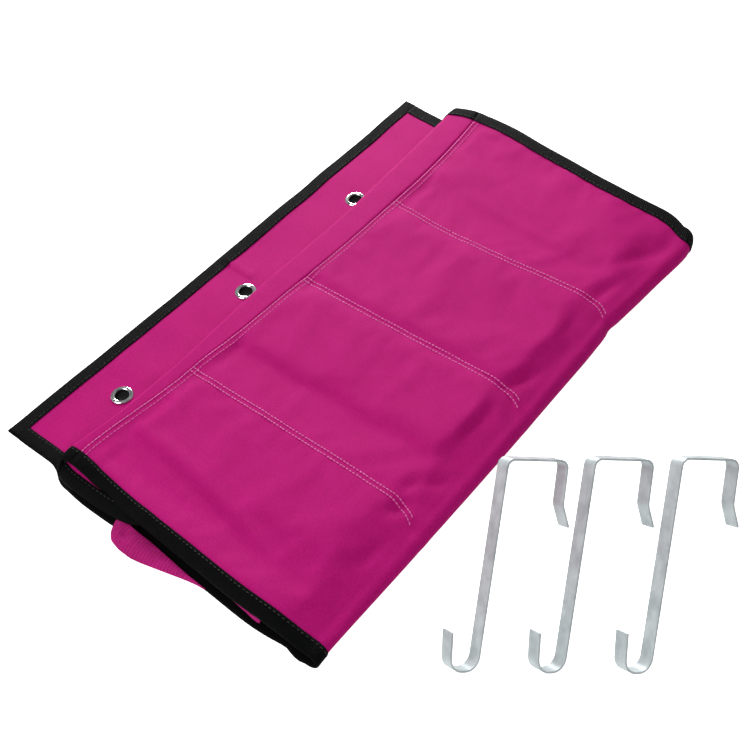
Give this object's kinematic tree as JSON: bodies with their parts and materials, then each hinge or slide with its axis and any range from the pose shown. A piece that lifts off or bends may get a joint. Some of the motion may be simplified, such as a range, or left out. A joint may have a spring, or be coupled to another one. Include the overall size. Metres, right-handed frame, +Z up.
{
  "type": "hanging pocket organiser",
  "caption": "Folded fabric pocket organiser that hangs over a door, with bound edges, an eyelet strip, pocket rows and loose flat-strip door hooks.",
  "frame": {"origin": "centre of the middle eyelet, on the plane the folded organiser lies on", "axes": "+X from the eyelet edge into the folded stack, +Y along the width, +Z up"},
  "size_m": [0.4963, 0.48, 0.0971],
  "materials": {
    "back_cloth": "matt laminated magenta cloth",
    "pocket_cloth": "matt magenta cloth",
    "binding_tape": "ribbed black tape",
    "mouth_elastic": "ribbed black elastic",
    "eyelet_plate": "bright plate",
    "hook_strip": "zinc plated strip"
  },
  "bodies": {
    "length_1": {"panel_1": "back_cloth", "top_binding": "binding_tape", "binding_1_near": "binding_tape", "binding_1_far": "binding_tape", "pocket_row_1": "pocket_cloth", "mouth_trim_1": "mouth_elastic", "eyelet_near": "eyelet_plate", "eyelet_mid": "eyelet_plate", "eyelet_far": "eyelet_plate", "washer_near": "eyelet_plate", "washer_mid": "eyelet_plate", "washer_far": "eyelet_plate"},
    "length_2": {"panel_2": "back_cloth", "binding_2_near": "binding_tape", "binding_2_far": "binding_tape", "pocket_row_2": "pocket_cloth", "mouth_trim_2": "mouth_elastic"},
    "length_3": {"panel_3": "back_cloth", "binding_3_near": "binding_tape", "binding_3_far": "binding_tape", "pocket_row_3": "pocket_cloth", "mouth_trim_3": "mouth_elastic"},
    "length_4": {"panel_4": "back_cloth", "bottom_binding": "binding_tape", "binding_4_near": "binding_tape", "binding_4_far": "binding_tape", "pocket_row_4": "pocket_cloth", "mouth_trim_4": "mouth_elastic"},
    "door_hook_1": {"hook_1": "hook_strip"},
    "door_hook_2": {"hook_2": "hook_strip"},
    "door_hook_3": {"hook_3": "hook_strip"}
  },
  "joints": [
    {"name": "fold_1", "type": "hinge", "parent": "length_1", "child": "length_2", "pos_m": [0.278, 0, 0.011], "axis": [0, 1, 0], "range_deg": [0, 180]},
    {"name": "fold_2", "type": "hinge", "parent": "length_2", "child": "length_3", "pos_m": [0.024, 0, 0.01665], "axis": [0, 1, 0], "range_deg": [0, 180]},
    {"name": "fold_3", "type": "hinge", "parent": "length_3", "child": "length_4", "pos_m": [0.138, 0, 0.01115], "axis": [0, -1, 0], "range_deg": [0, 180]},
    {"name": "hook_1_aside", "type": "slide", "parent": "length_1", "child": "door_hook_1", "axis": [0, -1, 0], "range_m": [0, 0.35]},
    {"name": "hook_2_aside", "type": "slide", "parent": "length_1", "child": "door_hook_2", "axis": [0, -1, 0], "range_m": [0, 0.35]},
    {"name": "hook_3_aside", "type": "slide", "parent": "length_1", "child": "door_hook_3", "axis": [0, -1, 0], "range_m": [0, 0.35]}
  ],
  "couplings": [
    {"joint": "fold_2", "follows": "fold_1", "ratio": 1},
    {"joint": "fold_3", "follows": "fold_1", "ratio": 1},
    {"joint": "hook_1_aside", "follows": "fold_1", "m_per_rad": 0.11},
    {"joint": "hook_2_aside", "follows": "fold_1", "m_per_rad": 0.11},
    {"joint": "hook_3_aside", "follows": "fold_1", "m_per_rad": 0.11}
  ]
}
